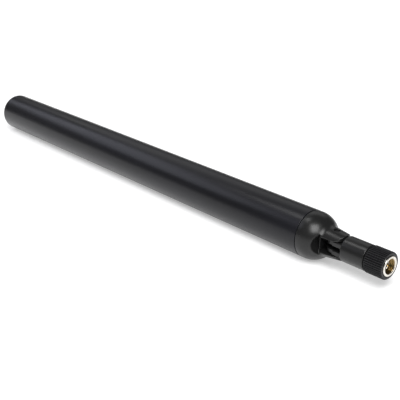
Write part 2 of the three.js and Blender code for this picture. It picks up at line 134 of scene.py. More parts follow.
FLOOR_HALF = 30  # metres


# ---- nodes and materials ----


def add(tree, kind, inputs=None, **settings):
    """Adds a node: settings are its own options, and inputs are values or other nodes' sockets."""
    node = tree.nodes.new(kind)
    for name, value in settings.items():
        setattr(node, name, value)
    for name, value in (inputs or {}).items():
        if isinstance(value, bpy.types.NodeSocket):
            tree.links.new(value, node.inputs[name])
        else:
            node.inputs[name].default_value = value
    return node


def calculated(tree, operation, *values):
    """One step of arithmetic on sockets or numbers."""
    inputs = dict(enumerate(values))
    return add(tree, "ShaderNodeMath", inputs, operation=operation).outputs[0]


def linear(colour):
    """An sRGB hex colour as linear red, green, blue and alpha."""
    parts = [int(colour[i:i + 2], 16) / 255 for i in (1, 3, 5)]
    return [p / 12.92 if p <= 0.04045 else ((p + 0.055) / 1.055) ** 2.4 for p in parts] + [1.0]


def surface(name, colour, **sockets):
    """A material with one Principled shader, and the Object coordinates that its patterns read."""
    material = bpy.data.materials.new(name)
    material.use_nodes = True
    tree = material.node_tree
    shader = tree.nodes["Principled BSDF"]
    shader.inputs["Base Color"].default_value = linear(colour)
    for socket, value in sockets.items():
        shader.inputs[socket.replace("_", " ")].default_value = value
    place = add(tree, "ShaderNodeTexCoord").outputs["Object"]
    return material, tree, shader, place


def noise(tree, place, size, detail=2.0, stretch=(1, 1, 1)):
    """Noise whose features are about size millimetres, drawn out along the axes by stretch."""
    scale = [1 / (size * MM * s) for s in stretch]
    at = add(tree, "ShaderNodeMapping", {"Vector": place, "Scale": scale})
    inputs = {"Vector": at.outputs[0], "Scale": 1.0, "Detail": detail}
    return add(tree, "ShaderNodeTexNoise", inputs).outputs["Fac"]


def between(tree, value, low, high, start=0.3, end=0.7):
    """Moves a pattern's start to end range onto low to high."""
    inputs = {"Value": value, "From Min": start, "From Max": end, "To Min": low, "To Max": high}
    return add(tree, "ShaderNodeMapRange", inputs).outputs["Result"]


def tint(tree, shader, value, first, second):
    """Colours the shader between two colours, each a hex colour or another node's socket."""
    mix = add(tree, "ShaderNodeMix", {"Factor": value}, data_type="RGBA")
    for name, colour in (("A", first), ("B", second)):
        if isinstance(colour, str):
            mix.inputs[name].default_value = linear(colour)
        else:
            tree.links.new(colour, mix.inputs[name])
    tree.links.new(mix.outputs["Result"], shader.inputs["Base Color"])
    return mix.outputs["Result"]


def relief(tree, shader, heights):
    """Bumps one after another, each a pattern and how many millimetres deep it is."""
    normal = None
    for height, depth in heights:
        inputs = {"Height": height, "Distance": depth * MM, "Strength": 1.0}
        if normal:
            inputs["Normal"] = normal
        normal = add(tree, "ShaderNodeBump", inputs).outputs["Normal"]
    tree.links.new(normal, shader.inputs["Normal"])


def moulded_abs():
    """ABS from a spark-eroded mould: black with a cool cast, an even matt grain and a dull sheen.

    The real grain is about 0.1 mm, and it is drawn at 0.3 mm so that it shows.
    """
    material, tree, shader, place = surface("moulded ABS", "#17171b", IOR=1.53, Specular_IOR_Level=0.3)
    grain = noise(tree, place, 0.3, 3)
    flow = noise(tree, place, 9, 2, (6, 1, 1))
    tint(tree, shader, between(tree, flow, 0, 1), "#131316", "#17171c")
    tree.links.new(between(tree, flow, 0.27, 0.33), shader.inputs["Roughness"])
    relief(tree, shader, [(grain, 0.005)])
    return material


def moulded_nylon():
    """Glass-filled nylon, as in hinges: warmer and smoother than the rod, with a satin sheen.

    Its convex edges are painted lighter, a painted highlight, and the mould leaves a cloudy flow of 4 mm.
    """
    material, tree, shader, place = surface("moulded nylon", "#1d1d1c", IOR=1.53, Specular_IOR_Level=0.35)
    cloud = noise(tree, place, 4, 3)
    grain = noise(tree, place, 0.25, 2)
    # painted highlight: convex edges, found by pointiness, are painted lighter than the black nylon
    edge = between(tree, add(tree, "ShaderNodeNewGeometry").outputs["Pointiness"], 0, 1, 0.52, 0.6)
    tint(tree, shader, edge, "#1c1c1c", "#2c2c2b")
    tree.links.new(between(tree, cloud, 0.27, 0.33), shader.inputs["Roughness"])
    relief(tree, shader, [(grain, 0.003), (cloud, 0.008)])
    return material


def moulded_pom():
    """Acetal (POM) on the coupling nut: black, waxy and dull where fingers turn it."""
    material, tree, shader, place = surface("moulded acetal", "#18181a", IOR=1.48, Specular_IOR_Level=0.35)
    grain = noise(tree, place, 0.2, 2)
    wear = noise(tree, place, 2.5, 3)
    # painted highlight: ridge crests and other convex edges, found by pointiness, are painted lighter
    edge = between(tree, add(tree, "ShaderNodeNewGeometry").outputs["Pointiness"], 0, 1, 0.52, 0.62)
    tint(tree, shader, edge, "#151517", "#2b2b2e")
    tree.links.new(between(tree, wear, 0.38, 0.5), shader.inputs["Roughness"])
    relief(tree, shader, [(grain, 0.006)])
    return material


def turned_metal(name, colour, dark, roughness, groove=0.12, bare=None):
    """A plated part off a lathe: bright, with fine rings of tool marks about its axis.

    The rings are drawn 0.12 mm apart, coarser than the real feed, so that they show.
    """
    material, tree, shader, place = surface(name, colour, Metallic=1.0)
    centred = add(tree, "ShaderNodeMapping", {"Vector": place, "Location": (0, 0, -AXIS_Z * MM)})
    parts = add(tree, "ShaderNodeSeparateXYZ", {"Vector": centred.outputs[0]})
    flat = add(tree, "ShaderNodeCombineXYZ", {"Y": parts.outputs["Y"], "Z": parts.outputs["Z"]})
    distance = add(tree, "ShaderNodeVectorMath", {0: flat.outputs[0]}, operation="LENGTH")
    along = calculated(tree, "ADD", parts.outputs["X"], distance.outputs["Value"])
    turns = calculated(tree, "MULTIPLY", along, 2 * math.pi / (groove * MM))
    rings = calculated(tree, "SINE", turns)
    tarnish = noise(tree, place, 1.2, 3)
    plated = tint(tree, shader, between(tree, tarnish, 0, 1, 0.35, 0.75), colour, dark)
    if bare:
        thread = add(tree, "ShaderNodeAttribute", attribute_name="cut").outputs["Fac"]
        tint(tree, shader, thread, plated, bare)
    tree.links.new(between(tree, tarnish, roughness, roughness + 0.12), shader.inputs["Roughness"])
    relief(tree, shader, [(rings, 0.0012)])
    return material


def nickel_plate():
    """Bright nickel on brass: a warm white metal, nearly a mirror, with faint turning rings."""
    return turned_metal("turned nickel plate", "#e4e0d8", "#c9c2b4", 0.14)


def worn_nickel():
    """The same plating on the nut's insert, where it is too thin in the thread and the brass shows."""
    return turned_metal("nickel plate worn to brass", "#e9e6df", "#cfc9bd", 0.16, bare="#857048")


def gold_plate():
    """Thin gold on brass: yellow, and browner where the brass shows through."""
    return turned_metal("turned gold plate", "#e0b765", "#b88a3e", 0.2)


def black_steel():
    """Spring-steel pin with a black oxide skin, peened over at its end."""
    material, tree, shader, place = surface("black oxide steel", "#2b2b2d", Metallic=1.0)
    pits = noise(tree, place, 0.3, 3)
    tree.links.new(between(tree, pits, 0.25, 0.4), shader.inputs["Roughness"])
    relief(tree, shader, [(pits, 0.01)])
    return material


def turned_ptfe():
    """PTFE: waxy white, lets a little light in, and shows the tool's rings."""
    material, tree, shader, place = surface(
        "turned PTFE", "#e9e5da", IOR=1.38, Roughness=0.45, Subsurface_Weight=0.25, Subsurface_Scale=0.4 * MM,
    )
    relief(tree, shader, [(noise(tree, place, 0.5, 2, (0.2, 1, 1)), 0.008)])
    return material


def silicone():
    """Moulded silicone rubber: brick red with a dusty sheen."""
    material, tree, shader, place = surface(
        "moulded silicone", "#9c3327", IOR=1.41, Roughness=0.6, Sheen_Weight=0.2, Sheen_Roughness=0.4,
    )
    relief(tree, shader, [(noise(tree, place, 0.4, 2), 0.006)])
    return material


def solder_mask():
    """Glass-epoxy board under green mask: the cloth's 0.5 mm weave telegraphs through the gloss."""
    material, tree, shader, place = surface("solder-masked glass epoxy", "#1d5438", IOR=1.55, Roughness=0.3)
    parts = add(tree, "ShaderNodeSeparateXYZ", {"Vector": place})
    threads = []
    for axis in "XY":
        turn = calculated(tree, "MULTIPLY", parts.outputs[axis], 2 * math.pi / (0.5 * MM))
        threads.append(calculated(tree, "SINE", turn))
    weave = calculated(tree, "MULTIPLY", *threads)
    tint(tree, shader, between(tree, weave, 0, 1, -1, 1), "#1a4d33", "#23603f")
    relief(tree, shader, [(weave, 0.004)])
    return material


def etched_copper():
    """Bare copper foil: brushed along its length, with brown tarnish in clouds."""
    material, tree, shader, place = surface("etched copper foil", "#c67c52", Metallic=1.0)
    brushing = noise(tree, place, 0.12, 2, (40, 1, 1))
    cloud = noise(tree, place, 6, 4)
    tint(tree, shader, between(tree, cloud, 0, 1), "#c9825a", "#9a5a3a")
    tree.links.new(between(tree, brushing, 0.28, 0.42), shader.inputs["Roughness"])
    relief(tree, shader, [(brushing, 0.003)])
    return material


def open_cell_foam():
    """Charcoal polyurethane foam with open cells about 0.8 mm across; the cells' hollows are painted darker
    than the struts, a painted shade.
    """
    material, tree, shader, place = surface("open-cell foam", "#47484c", Roughness=0.95, Sheen_Weight=0.3)
    at = add(tree, "ShaderNodeMapping", {"Vector": place, "Scale": [1 / (0.8 * MM)] * 3})
    cells = add(
        tree, "ShaderNodeTexVoronoi", {"Vector": at.outputs[0], "Scale": 1.0}, feature="DISTANCE_TO_EDGE",
    ).outputs["Distance"]
    # painted shade: the hollows of the cells are painted darker than the paler struts
    tint(tree, shader, between(tree, cells, 0, 1, 0.02, 0.2), "#5b5c60", "#1e1f21")
    relief(tree, shader, [(between(tree, cells, 1, 0, 0, 0.2), 0.3)])
    return material


def extruded_jacket():
    """Extruded black fluoropolymer: glossy, with long faint draw lines."""
    material, tree, shader, place = surface("extruded FEP jacket", "#131314", IOR=1.35, Roughness=0.3)
    relief(tree, shader, [(noise(tree, place, 0.25, 2, (30, 1, 1)), 0.008)])
    return material


def tinned_copper():
    """Tinned braid wire: soft grey metal, dull in the crossings."""
    material, tree, shader, place = surface("tinned copper wire", "#a9a7a2", Metallic=1.0)
    tree.links.new(between(tree, noise(tree, place, 0.3, 2), 0.3, 0.5), shader.inputs["Roughness"])
    return material


def reflowed_solder():
    """Tin solder: bright where it froze smooth and frosted in patches."""
    material, tree, shader, place = surface("reflowed solder", "#c2c3c4", Metallic=1.0)
    frost = noise(tree, place, 0.35, 4)
    tree.links.new(between(tree, frost, 0.15, 0.45), shader.inputs["Roughness"])
    relief(tree, shader, [(frost, 0.03)])
    return material


# ---- meshes ----


def finished(name, mesh, body, material, slot, *nodes, crease=32):
    """Links a mesh as a piece of the antenna, with its edges sharper than crease left sharp."""
    piece = bpy.data.objects.new(name, mesh)
    bpy.context.scene.collection.objects.link(piece)
    mesh.shade_smooth()
    mesh.set_sharp_from_angle(angle=math.radians(crease))
    mesh.materials.clear()
    mesh.materials.append(material)
    if body:
        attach(piece, body)
    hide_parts(*nodes)
    return piece


def mesh_of(name, points, faces):
    mesh = bpy.data.meshes.new(name)
    mesh.from_pydata((np.asarray(points, float) * MM).tolist(), [], faces)
    mesh.validate()
    return mesh


def softened(corners, steps=4):
    """An outline from corners of (x, radius, fillet, sides), with each fillet drawn as an arc.

    Fillet and sides may be left out: no fillet, and a round section in place of a polygon.
    """
    full = [(*corner, *(0, 0)[len(corner) - 2:]) for corner in corners]
    outline = []
    for i, (x, r, fillet, sides) in enumerate(full):
        here = np.array([x, r])
        if not fillet or i in (0, len(full) - 1):
            outline.append((x, r, sides))
            continue
        before, after = (np.array(full[j][:2]) - here for j in (i - 1, i + 1))
        reach = [min(fillet, 0.48 * np.linalg.norm(side)) / np.linalg.norm(side) for side in (before, after)]
        start, end = here + before * reach[0], here + after * reach[1]
        for t in np.linspace(0, 1, steps + 1):
            point = start * (1 - t) ** 2 + here * 2 * t * (1 - t) + end * t ** 2
            outline.append((*point, sides))
    return outline


def turned(name, outline, segments=96):
    """A closed solid about the rod's axis, from an outline that starts and ends on it or on itself."""
    points, rows = [], []
    closed = outline[0][:2] == outline[-1][:2]
    for x, r, sides in outline[:-1] if closed else outline:
        if r < 1e-6:
            rows.append([len(points)] * segments)
            points.append((x, 0, AXIS_Z))
            continue
        rows.append(list(range(len(points), len(points) + segments)))
        for a in np.arange(segments) * 2 * math.pi / segments:
            half = math.pi / sides if sides else 0
            out = r * math.cos(half) / math.cos(a % (2 * half) - half) if sides else r
            points.append((x, out * math.cos(a), AXIS_Z + out * math.sin(a)))
    pairs = list(zip(rows, rows[1:])) + ([(rows[-1], rows[0])] if closed else [])
    faces = []
    for a, b in pairs:
        for i in range(segments):
            j = (i + 1) % segments
            corners = [a[i], a[j], b[j], b[i]]
            faces.append([c for k, c in enumerate(corners) if c != corners[k - 1]])
    mesh = mesh_of(name, points, faces)
    flipped = sum(f.center.dot(f.normal) * f.area for f in mesh.polygons) < 0
    if flipped:
        mesh.flip_normals()
    return mesh


def ring_of(x0, x1, outer, inner, fillet=0.05):
    """The outline of a ring from x0 to x1."""
    corners = [(x0, (outer + inner) / 2), (x0, outer, fillet), (x1, outer, fillet)]
    return softened([*corners, (x1, inner, fillet), (x0, inner, fillet), corners[0]], 2)


def rows_between(x0, x1, r, step):
    """Points along a straight stretch of an outline, about step apart."""
    count = max(2, round(abs(x1 - x0) / step))
    return [(x, r, 0) for x in np.linspace(x0, x1, count + 1)]


def carried_out(name, mesh, tree, **inputs):
    """The mesh that a Geometry Nodes tree makes of mesh, with its named inputs set."""
    shape = bpy.data.objects.new(name, mesh)
    bpy.context.scene.collection.objects.link(shape)
    modifier = shape.modifiers.new(tree.name, "NODES")
    modifier.node_group = tree
    sockets = {item.name: item.identifier for item in tree.interface.items_tree}
    for label, value in inputs.items():
        modifier[sockets[label.replace("_", " ")]] = value
    shape.update_tag()
    made = bpy.data.meshes.new_from_object(shape.evaluated_get(bpy.context.evaluated_depsgraph_get()))
    made.name = name
    bpy.data.objects.remove(shape)
    return made


# ---- repeated shapes, as Geometry Nodes ----


def new_tree(name, **inputs):
    """An empty Geometry Nodes tree with a mesh in and out, and inputs given as name=socket type."""
    tree = bpy.data.node_groups.new(name, "GeometryNodeTree")
    tree.interface.new_socket("Geometry", in_out="INPUT", socket_type="NodeSocketGeometry")
    for label, kind in inputs.items():
        tree.interface.new_socket(label.replace("_", " "), in_out="INPUT", socket_type="NodeSocket" + kind)
    tree.interface.new_socket("Geometry", in_out="OUTPUT", socket_type="NodeSocketGeometry")
    return tree, add(tree, "NodeGroupInput").outputs


def end_tree(tree, geometry, material):
    real = add(tree, "GeometryNodeRealizeInstances", {"Geometry": geometry})
    inputs = {"Geometry": real.outputs["Geometry"], "Material": material}
    painted = add(tree, "GeometryNodeSetMaterial", inputs)
    add(tree, "NodeGroupOutput", {"Geometry": painted.outputs["Geometry"]})
    return tree


def polar(tree, centre):
    """Each point's X, its distance from the axis, its turns about it, and its Y and Z from it."""
    place = add(tree, "ShaderNodeSeparateXYZ", {"Vector": add(tree, "GeometryNodeInputPosition").outputs[0]})
    y = place.outputs["Y"]
    z = calculated(tree, "SUBTRACT", place.outputs["Z"], centre)
    squares = [calculated(tree, "MULTIPLY", value, value) for value in (y, z)]
    squared = calculated(tree, "ADD", *squares)
    turn = calculated(tree, "DIVIDE", calculated(tree, "ARCTAN2", z, y), 2 * math.pi)
    return place.outputs["X"], calculated(tree, "SQRT", squared), turn, y, z


def pushed(tree, geometry, radius, wanted, y, z):
    """Moves every point out or in, from its radius to the wanted one."""
    share = calculated(tree, "DIVIDE", calculated(tree, "SUBTRACT", wanted, radius), radius)
    offset = add(tree, "ShaderNodeCombineXYZ", {
        "Y": calculated(tree, "MULTIPLY", y, share), "Z": calculated(tree, "MULTIPLY", z, share),
    })
    inputs = {"Geometry": geometry, "Offset": offset.outputs[0]}
    return add(tree, "GeometryNodeSetPosition", inputs).outputs["Geometry"]


def straight_knurl():
    """Cuts grooves along X into whatever stands beyond their floor, and leaves the rest."""
    tree, given = new_tree(
        "straight_knurl", Ridges="Int", Radius="Float", Depth="Float", Centre="Float", Finish="Material",
    )
    _, radius, turn, y, z = polar(tree, given["Centre"])
    wave = calculated(tree, "PINGPONG", calculated(tree, "MULTIPLY", turn, given["Ridges"]), 0.5)
    inputs = {"Value": wave, "From Min": 0.1, "From Max": 0.42}
    groove = add(tree, "ShaderNodeMapRange", inputs, interpolation_type="SMOOTHSTEP").outputs["Result"]
    sunk = calculated(tree, "MULTIPLY", groove, given["Depth"])
    bottom = calculated(tree, "SUBTRACT", given["Radius"], sunk)
    cut = pushed(tree, given["Geometry"], radius, calculated(tree, "MINIMUM", radius, bottom), y, z)
    return end_tree(tree, cut, given["Finish"])


def screw_thread():
    """Sinks a 60 degree helical groove into the points that the attribute cut marks."""
    tree, given = new_tree("screw_thread", Pitch="Float", Depth="Float", Centre="Float", Finish="Material")
    x, radius, turn, y, z = polar(tree, given["Centre"])
    marked = add(tree, "GeometryNodeInputNamedAttribute", {"Name": "cut"}, data_type="FLOAT")
    phase = calculated(tree, "ADD", calculated(tree, "DIVIDE", x, given["Pitch"]), turn)
    wave = calculated(tree, "MULTIPLY", calculated(tree, "PINGPONG", phase, 0.5), 2.0)
    inputs = {"Value": wave, "From Min": 0.12, "From Max": 0.9}
    flank = add(tree, "ShaderNodeMapRange", inputs).outputs["Result"]
    depth = calculated(tree, "MULTIPLY", flank, given["Depth"])
    wanted = calculated(tree, "ADD", radius, calculated(tree, "MULTIPLY", depth, marked.outputs["Attribute"]))
    return end_tree(tree, pushed(tree, given["Geometry"], radius, wanted, y, z), given["Finish"])


def braid():
    """Wires wound both ways round the cable's core, from the origin along X."""
    tree, given = new_tree(
        "braid", Strands="Int", Radius="Float", Length="Float", Turns="Float", Wire="Float",
        Finish="Material",
    )
    points = add(tree, "GeometryNodePoints", {"Count": given["Strands"]})
    index = add(tree, "GeometryNodeInputIndex").outputs[0]
    share = calculated(tree, "DIVIDE", calculated(tree, "MULTIPLY", index, 2 * math.pi), given["Strands"])
    turn = add(tree, "ShaderNodeCombineXYZ", {"Z": share}).outputs[0]
    section = add(tree, "GeometryNodeCurvePrimitiveCircle", {"Resolution": 6, "Radius": given["Wire"]})
    layers = []
    for reverse in (False, True):
        helix = add(tree, "GeometryNodeCurveSpiral", {
            "Resolution": 40, "Rotations": given["Turns"], "Start Radius": given["Radius"],
            "End Radius": given["Radius"], "Height": given["Length"], "Reverse": reverse,
        })
        inputs = {"Curve": helix.outputs[0], "Profile Curve": section.outputs[0], "Fill Caps": True}
        wire = add(tree, "GeometryNodeCurveToMesh", inputs)
        copies = add(tree, "GeometryNodeInstanceOnPoints", {
            "Points": points.outputs[0], "Instance": wire.outputs[0], "Rotation": turn,
        })
        layers.append(copies.outputs["Instances"])
    joined = add(tree, "GeometryNodeJoinGeometry")
    for layer in layers:
        tree.links.new(layer, joined.inputs[0])
    inputs = {"Geometry": joined.outputs[0], "Rotation": (0, math.pi / 2, 0)}
    laid = add(tree, "GeometryNodeTransform", inputs)
    return end_tree(tree, laid.outputs[0], given["Finish"])


# ---- solids with moulded edges, as distance fields ----
# A field gives each point's distance to a surface, below 0 inside it. Fields are added and cut with
# a blend that rounds the edge between them, as a mould's own radii do.


def both(a, b, blend=0.0):
    """What is inside a and b."""
    if not blend:
        return np.maximum(a, b)
    overlap = np.maximum(blend - np.abs(a - b), 0) / blend
    return np.maximum(a, b) + overlap * overlap * blend / 4


def either(a, b, blend=0.0):
    return -both(-a, -b, blend)


def without(a, b, blend=0.0):
    return both(a, -b, blend)


def slab(value, low, high, blend=0.0):
    return both(low - value, value - high, blend)


def meshed(name, field, low, high, cell):
    """A closed mesh of field's zero surface: one point in each grid cell that it crosses.

    The points are then moved onto the surface itself, so the facets show no steps.
    """
    low = np.array(low, float)
    counts = np.ceil((np.array(high) - low) / cell).astype(int) + 1
    rulers = [low[i] + np.arange(counts[i]) * cell for i in range(3)]
    grids = np.meshgrid(*rulers, indexing="ij", sparse=True)
    values = field(*grids)
    inside = values < 0
    cells = counts - 1
    stride = np.array([cells[1] * cells[2], cells[2], 1])
    size = int(cells.prod())
    totals, hits, quads = np.zeros((size, 3)), np.zeros(size), []
    for a in range(3):
        b, c = (a + 1) % 3, (a + 2) % 3
        first = [slice(None)] * 3
        last = [slice(None)] * 3
        first[a], last[a] = slice(0, -1), slice(1, None)
        first, last = tuple(first), tuple(last)
        edges = np.argwhere(inside[first] != inside[last])
        near, far = values[first][tuple(edges.T)], values[last][tuple(edges.T)]
        crossing = low + edges * cell
        crossing[:, a] += cell * near / (near - far)
        around = []
        for db, dc in ((-1, -1), (0, -1), (0, 0), (-1, 0)):
            place = edges.copy()
            place[:, b] += db
            place[:, c] += dc
            around.append(place @ stride)
        for flat in around:
            for k in range(3):
                totals[:, k] += np.bincount(flat, crossing[:, k], size)
            hits += np.bincount(flat, minlength=size)
        quad = np.stack(around, 1)
        leaving = near < 0
        quads.append(np.where(leaving[:, None], quad, quad[:, ::-1]))
    quads = np.concatenate(quads)
    used, faces = np.unique(quads, return_inverse=True)
    points = totals[used] / hits[used, None]
    small = cell * 0.05
    for _ in range(3):
        here = field(*points.T)
        slope = np.stack([
            field(*(points + small * unit).T) - field(*(points - small * unit).T) for unit in np.eye(3)
        ], 1) / (2 * small)
        step = here[:, None] * slope / np.maximum((slope * slope).sum(1), 0.25)[:, None]
        points -= np.clip(step, -cell / 2, cell / 2)
    return mesh_of(name, points, faces.reshape(-1, 4).tolist())


def room_for(node, margin):
    """The corners of a node's box in millimetres, with a margin all round."""
    low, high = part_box(node)
    around = Vector([margin] * 3)
    return low / MM - around, high / MM + around


# ---- the rod ----


def radome(material):
    start, end, radius = span("radome_tube")
    bore = radius - RADOME_WALL
    outline = softened([
        (start, 0), (start, radius, RADOME_END_FILLET), (end, radius, SEAM_EDGE), (end, bore, SEAM_EDGE),
        (start + RADOME_WALL, bore, 0.5), (start + RADOME_WALL, 0),
    ], 8)
    mesh = turned("radome_shell", outline, 160)
    finished("radome_shell", mesh, "rod", material, "radome_black", "radome_tube")


def hinge_base(material):
    start, ears_end, radius = span("hinge_base")
    seam = span("radome_tube")[1]
    spigot = radius - RADOME_WALL - FIT
    ear = ears_end - PIN_X
    neck = ear + EAR_EDGE_SETBACK
    dome_x = seam + FIT + DOME_LIP
    neck_x = dome_x + math.sqrt(radius ** 2 - (neck + NECK_DRAFT) ** 2)
    neck_slope = NECK_DRAFT / (PIN_X + neck - neck_x)
    at_pin = neck + neck_slope * neck
    rim = ear + RIM_BEYOND_EAR
    scoop = span("swivel_barrel")[2] + SCOOP_CLEARANCE
    pocket = TONGUE_RADIUS + OPEN_SIDE_OUTSET + SWEEP_CLEARANCE
    stop = TONGUE_RADIUS - STOP_SIDE_INSET + SWEEP_CLEARANCE
    low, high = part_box("antenna_board")
    board_end, board_half = high.x / MM + SWEEP_CLEARANCE, high.y / MM + BOARD_CLEARANCE
    board_floor = low.z / MM - AXIS_Z - BOARD_CLEARANCE
    cable = span("coax_cable")[2] + BOARD_CLEARANCE

    def field(x, y, z):
        z = z - AXIS_Z
        out = np.hypot(y, z)
        plan = np.hypot(x - PIN_X, y)
        lip = both(out - radius, seam + 2 * FIT - x, 2 * SEAM_EDGE)
        dome = np.where(x > dome_x, np.hypot(x - dome_x, out) - radius, lip)
        thickness = neck + neck_slope * (PIN_X + neck - x)
        ears = both(out - thickness, np.where(x > PIN_X, plan - ear, np.abs(y) - ear), 0.25)
        ears = both(ears, dome_x - x)
        body = either(dome, ears, 0.9)
        plug = both(out - spigot, slab(x, start, seam + 1), 0.8)
        body = either(body, plug)
        roof = np.abs(z) - SLOT_HALF - 0.5 * (PIN_X - 1.9 - x)
        room = both(both(np.hypot(x - PIN_X, z) - scoop, y), roof)
        body = without(body, both(room, rim - plan, 0.3), 0.35)
        gap = np.abs(z) - SLOT_HALF
        turning = both(gap, plan - (TONGUE_RADIUS + SWEEP_CLEARANCE))
        forward = both(gap, both(PIN_X - x, y - stop))
        open_side = both(gap, both(PIN_X - pocket - x, y))
        slot = either(either(turning, forward), open_side)
        body = without(body, slot, 0.3)
        body = without(body, both(out - CABLE_BORE_RADIUS, x - PIN_X), 0.2)
        recess = both(plan - PIN_RECESS[0], at_pin - PIN_RECESS[1] - np.abs(z))
        body = without(body, either(plan - PIN_RADIUS - FIT / 2, recess), 0.2)
        board = both(slab(x, start - 5, board_end), slab(z, board_floor, cable))
        return without(body, both(board, np.abs(y) - board_half), 0.1)

    mesh = meshed("hinge_base_moulding", field, *room_for("hinge_base", 0.4), HINGE_CELL)
    finished("hinge_base_moulding", mesh, "rod", material, "hinge_black", "hinge_base", crease=50)


def hinge_pins(material):
    low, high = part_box("hinge_pin_top")
    inner, outer = low.z / MM - AXIS_Z, high.z / MM - AXIS_Z
    radius = (high.y - low.y) / 2 / MM
    outline = softened([(inner, 0), (inner, radius, 0.1), (outer - 0.15, radius, 0.3), (outer, 0)], 5)
    upright = Matrix.Translation((PIN_X * MM, 0, AXIS_Z * MM)) @ Matrix.Rotation(-math.pi / 2, 4, "Y")
    centred = Matrix.Translation((0, 0, -AXIS_Z * MM))
    for name, turn in (("hinge_pin_top", 0), ("hinge_pin_bottom", math.pi)):
        mesh = turned(name + "_peened", outline, 40)
        flipped = Matrix.Translation((0, 0, AXIS_Z * MM)) @ Matrix.Rotation(turn, 4, "X") @ centred
        mesh.transform(flipped @ upright @ centred)
        finished(name + "_peened", mesh, "rod", material, "dark_steel", name)


def coax(materials):
    start, _, radius = span("coax_cable")
    end = span("coax_arm_section")[1]
    outline = [(start, 0, 0), *rows_between(start, end, radius, 0.6), (end, 0, 0)]
    cable = finished(
        "coax_run", turned("coax_run", outline, 32), None, materials["jacket"], "cable_jacket",
        "coax_cable", "coax_hinge_section", "coax_arm_section",
    )
    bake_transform(cable)

    start, end, radius = span("coax_braid_tail")
    mesh = carried_out(
        "braid_wires", bpy.data.meshes.new("braid_wires"), braid(), Strands=STRANDS,
        Radius=(radius - WIRE_RADIUS) * MM, Length=(end - start - 2 * WIRE_RADIUS) * MM, Turns=0.8,
        Wire=WIRE_RADIUS * MM, Finish=materials["braid"],
    )
    mesh.transform(Matrix.Translation(((start + WIRE_RADIUS) * MM, 0, AXIS_Z * MM)))
    finished("braid_wires", mesh, "rod", materials["braid"], "tinned_braid", "coax_braid_tail", crease=60)


def solder_joints(material):
    joints = {"braid_solder_joint": "coax_braid_tail", "core_solder_joint": "coax_core_tail"}
    for node, conductor in joints.items():
        low, high = (np.array(corner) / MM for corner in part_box(node))
        middle, half = (low + high) / 2, (high - low) / 2
        clear = span(conductor)[2] + FIT / 2

        def field(x, y, z):
            # a mound with concave flanks that wets the copper and stops at the conductor
            across = np.hypot((x - middle[0]) / half[0], (y - middle[1]) / half[1])
            height = low[2] + 2 * half[2] * np.clip(1 - across, 0, 1) ** 0.55
            mound = both((z - height) * 0.5, low[2] - z, 0.05)
            mound = both(mound, (across - SOLDER_RIM) * half[0])
            return without(mound, np.hypot(y, z - AXIS_Z) - clear, 0.1)

        name = node.replace("joint", "fillet")
        mesh = meshed(name, field, low - 0.15, high + 0.15, SOLDER_CELL)
        finished(name, mesh, "rod", material, "solder", node, crease=60)


# ---- the arm ----


def swivel_barrel(material):
    _, end, radius = span("swivel_barrel")
    shoulder = span("hinge_base")[1] + SHOULDER_GAP
    gap = span("coax_cable")[2] + FIT
    chamber_start = span("connector_body")[0] - SWEEP_CLEARANCE
    lip = end - BARREL_LIP

    def field(x, y, z):
        z = z - AXIS_Z
        out = np.hypot(y, z)
        plan = np.hypot(x - PIN_X, y)
        body = both(out - radius, slab(x, shoulder, end), 0.4)
        stop_side = slab(y, -TONGUE_RADIUS, TONGUE_RADIUS - STOP_SIDE_INSET)
        straight = both(slab(x, PIN_X, shoulder + 1), stop_side)
        open_side = slab(y, -TONGUE_RADIUS - OPEN_SIDE_OUTSET, 0)
        wide = both(slab(x, PIN_X + TONGUE_STEP, shoulder + 1), open_side)
        outline = either(either(plan - TONGUE_RADIUS, straight), wide, 0.3)
        tongue = both(outline, np.abs(z) - TONGUE_HALF, 0.25)
        body = either(body, tongue, 0.5)
        body = without(body, both(np.abs(z) - gap, x - shoulder - SWEEP_CLEARANCE), 0.2)
        body = without(body, both(plan - PIN_RADIUS - RUNNING, x - shoulder), 0.15)
        body = without(body, both(out - gap, PIN_X - x))
        body = without(body, both(out - BARB_RADIUS - RUNNING, slab(x, chamber_start, lip)), 0.1)
        return without(body, both(out - NECK_RADIUS - RUNNING, lip - 1 - x), 0.2)

    mesh = meshed("swivel_barrel_moulding", field, *room_for("swivel_barrel", 0.3), BARREL_CELL)
    finished(
        "swivel_barrel_moulding", mesh, "tilt_arm", material, "hinge_black", "swivel_barrel", crease=50,
    )


# ---- the connector and its nut ----


